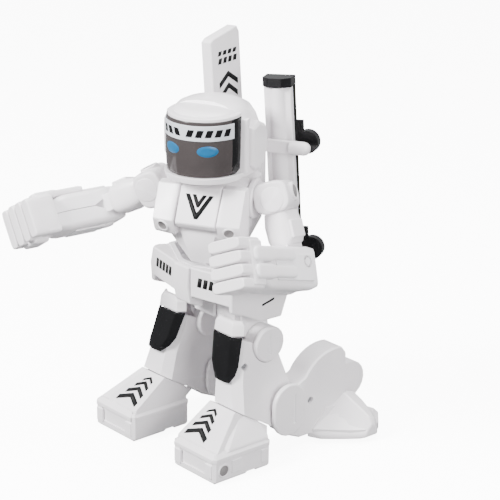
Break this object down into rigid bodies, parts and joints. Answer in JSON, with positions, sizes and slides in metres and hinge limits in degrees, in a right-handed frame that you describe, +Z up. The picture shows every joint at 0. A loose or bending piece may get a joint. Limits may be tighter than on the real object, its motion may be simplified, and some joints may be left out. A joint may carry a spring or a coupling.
{
  "type": "walking humanoid robot toy",
  "caption": "Standing humanoid robot toy with a visored helmet, turning waist, jointed arms with fists, hip and knee joints, wheeled feet, a back fin and a launcher tube.",
  "frame": {"origin": "middle of the bounding box's bottom face, on the ground between the feet", "axes": "+Z up; -Y the way the feet and belt face; +X the robot's left; the torso is stored turned 29 degrees towards the robot's left"},
  "size_m": [0.1206, 0.136, 0.1839],
  "materials": {
    "white_shell": "satin moulded white",
    "black_trim": "gloss black",
    "smoked_visor": "smoked clear plastic, polished",
    "blue_lens": "tinted lens",
    "bright_metal": "plated",
    "gear_plastic": "natural moulded",
    "circuit_green": "solder mask",
    "wheel_rubber": "moulded tread",
    "battery_wrap": "shrink wrap"
  },
  "bodies": {
    "pelvis": {"belt_tray": "white_shell", "belt_front_box": "white_shell", "left_hip_skirt": "white_shell", "right_hip_skirt": "white_shell", "hip_block": "white_shell", "hip_axle": "bright_metal", "waist_gear": "gear_plastic"},
    "torso": {"torso_front_shell": "white_shell", "torso_back_shell": "white_shell", "chest_plate": "white_shell", "battery_pack": "battery_wrap", "battery_cover": "white_shell", "circuit_board": "circuit_green", "waist_motor": "bright_metal", "back_frame": "white_shell", "back_fin": "white_shell", "launcher_tube": "white_shell", "launcher_rail": "black_trim"},
    "waist_pinion": {"waist_pinion": "gear_plastic"},
    "power_switch": {"power_switch": "black_trim"},
    "head": {"helmet_shell": "white_shell", "visor": "smoked_visor", "left_eye_lens": "blue_lens", "right_eye_lens": "blue_lens"},
    "left_shoulder": {"left_shoulder_cap": "white_shell"},
    "left_arm_pivot": {"left_arm_head": "white_shell"},
    "left_upper_arm": {"left_upper_arm": "white_shell"},
    "left_forearm": {"left_gauntlet": "white_shell", "left_fist": "white_shell"},
    "left_thigh": {"left_thigh": "white_shell"},
    "left_lower_leg": {"left_shin_shell": "white_shell", "left_knee_cap": "white_shell", "left_knee_insert": "black_trim", "left_knee_pin": "white_shell", "left_foot_upper": "white_shell", "left_foot_sole": "white_shell", "left_tail_housing": "white_shell", "left_tail_hub": "white_shell", "left_drive_motor": "bright_metal"},
    "left_front_roller": {"left_front_roller": "wheel_rubber"},
    "left_drive_wheel": {"left_drive_wheel": "wheel_rubber"},
    "left_drive_pinion": {"left_drive_pinion": "gear_plastic"},
    "right_shoulder": {"right_shoulder_cap": "white_shell"},
    "right_arm_pivot": {"right_arm_head": "white_shell"},
    "right_upper_arm": {"right_upper_arm": "white_shell"},
    "right_forearm": {"right_gauntlet": "white_shell", "right_fist": "white_shell"},
    "right_thigh": {"right_thigh": "white_shell"},
    "right_lower_leg": {"right_shin_shell": "white_shell", "right_knee_cap": "white_shell", "right_knee_insert": "black_trim", "right_knee_pin": "white_shell", "right_foot_upper": "white_shell", "right_foot_sole": "white_shell", "right_tail_housing": "white_shell", "right_tail_hub": "white_shell", "right_drive_motor": "bright_metal"},
    "right_front_roller": {"right_front_roller": "wheel_rubber"},
    "right_drive_wheel": {"right_drive_wheel": "wheel_rubber"},
    "right_drive_pinion": {"right_drive_pinion": "gear_plastic"}
  },
  "joints": [
    {"name": "waist_twist", "type": "hinge", "parent": "pelvis", "child": "torso", "pos_m": [0.00364, 0.00298, 0.09], "axis": [0, 0, 1], "range_deg": [-60, 4]},
    {"name": "waist_pinion_spin", "type": "hinge", "parent": "torso", "child": "waist_pinion", "pos_m": [-0.00067, 0.01077, 0.0945], "axis": [0, 0, 1], "range_deg": [-160, 35]},
    {"name": "switch_slide", "type": "slide", "parent": "torso", "child": "power_switch", "axis": [0.8746, 0.4848, 0], "range_m": [0, 0.0024]},
    {"name": "neck_turn", "type": "hinge", "parent": "torso", "child": "head", "pos_m": [0.00364, 0.00298, 0.128], "axis": [0, 0, 1], "range_deg": [-35, 25]},
    {"name": "left_shoulder_swing", "type": "hinge", "parent": "torso", "child": "left_shoulder", "pos_m": [0.01939, 0.01171, 0.117], "axis": [-0.8746, -0.4848, 0], "range_deg": [-4, 40]},
    {"name": "left_shoulder_raise", "type": "hinge", "parent": "left_shoulder", "child": "left_arm_pivot", "pos_m": [0.02988, 0.01752, 0.117], "axis": [0.4636, -0.8364, 0.2924], "range_deg": [0, 40]},
    {"name": "left_arm_twist", "type": "hinge", "parent": "left_arm_pivot", "child": "left_upper_arm", "pos_m": [0.02988, 0.01752, 0.117], "axis": [0.4188, -0.0839, -0.9042], "range_deg": [-6, 15]},
    {"name": "left_elbow_bend", "type": "hinge", "parent": "left_upper_arm", "child": "left_forearm", "pos_m": [0.04203, 0.01509, 0.09078], "axis": [-0.8923, -0.2229, -0.3926], "range_deg": [-25, 10]},
    {"name": "left_hip_swing", "type": "hinge", "parent": "pelvis", "child": "left_thigh", "pos_m": [0.01764, 0.00698, 0.072], "axis": [-1, 0, 0], "range_deg": [-12, 14]},
    {"name": "left_knee_bend", "type": "hinge", "parent": "left_thigh", "child": "left_lower_leg", "pos_m": [0.02164, 0.00968, 0.052], "axis": [1, 0, 0], "range_deg": [-6, 16]},
    {"name": "left_roller_spin", "type": "hinge", "parent": "left_lower_leg", "child": "left_front_roller", "pos_m": [0.03254, -0.02302, 0.0046], "axis": [1, 0, 0], "continuous": true},
    {"name": "left_drive_wheel_spin", "type": "hinge", "parent": "left_lower_leg", "child": "left_drive_wheel", "pos_m": [0.03364, 0.04398, 0.008], "axis": [1, 0, 0], "continuous": true},
    {"name": "left_drive_pinion_spin", "type": "hinge", "parent": "left_lower_leg", "child": "left_drive_pinion", "pos_m": [0.03084, 0.03478, 0.0161], "axis": [1, 0, 0], "continuous": true},
    {"name": "right_shoulder_swing", "type": "hinge", "parent": "torso", "child": "right_shoulder", "pos_m": [-0.0121, -0.00575, 0.117], "axis": [-0.8746, -0.4848, 0], "range_deg": [-30, 40]},
    {"name": "right_shoulder_raise", "type": "hinge", "parent": "right_shoulder", "child": "right_arm_pivot", "pos_m": [-0.0226, -0.01156, 0.117], "axis": [-0.4848, 0.8746, 0], "range_deg": [-40, 9]},
    {"name": "right_arm_twist", "type": "hinge", "parent": "right_arm_pivot", "child": "right_upper_arm", "pos_m": [-0.0226, -0.01156, 0.117], "axis": [0.7722, 0.4281, 0.4695], "range_deg": [-25, 25]},
    {"name": "right_elbow_bend", "type": "hinge", "parent": "right_upper_arm", "child": "right_forearm", "pos_m": [-0.04499, -0.02398, 0.10339], "axis": [-0.5344, 0.0381, 0.8444], "range_deg": [-30, 30]},
    {"name": "right_hip_swing", "type": "hinge", "parent": "pelvis", "child": "right_thigh", "pos_m": [-0.01036, 0.00698, 0.072], "axis": [-1, 0, 0], "range_deg": [-12, 14]},
    {"name": "right_knee_bend", "type": "hinge", "parent": "right_thigh", "child": "right_lower_leg", "pos_m": [-0.01436, 0.00968, 0.052], "axis": [1, 0, 0], "range_deg": [-6, 16]},
    {"name": "right_roller_spin", "type": "hinge", "parent": "right_lower_leg", "child": "right_front_roller", "pos_m": [-0.02526, -0.02302, 0.0046], "axis": [1, 0, 0], "continuous": true},
    {"name": "right_drive_wheel_spin", "type": "hinge", "parent": "right_lower_leg", "child": "right_drive_wheel", "pos_m": [-0.02636, 0.04398, 0.008], "axis": [1, 0, 0], "continuous": true},
    {"name": "right_drive_pinion_spin", "type": "hinge", "parent": "right_lower_leg", "child": "right_drive_pinion", "pos_m": [-0.02356, 0.03478, 0.0161], "axis": [1, 0, 0], "continuous": true}
  ],
  "couplings": [
    {"joint": "waist_pinion_spin", "follows": "waist_twist", "ratio": 2.5},
    {"joint": "left_drive_pinion_spin", "follows": "left_drive_wheel_spin", "ratio": -1.5},
    {"joint": "right_drive_pinion_spin", "follows": "right_drive_wheel_spin", "ratio": -1.5}
  ]
}
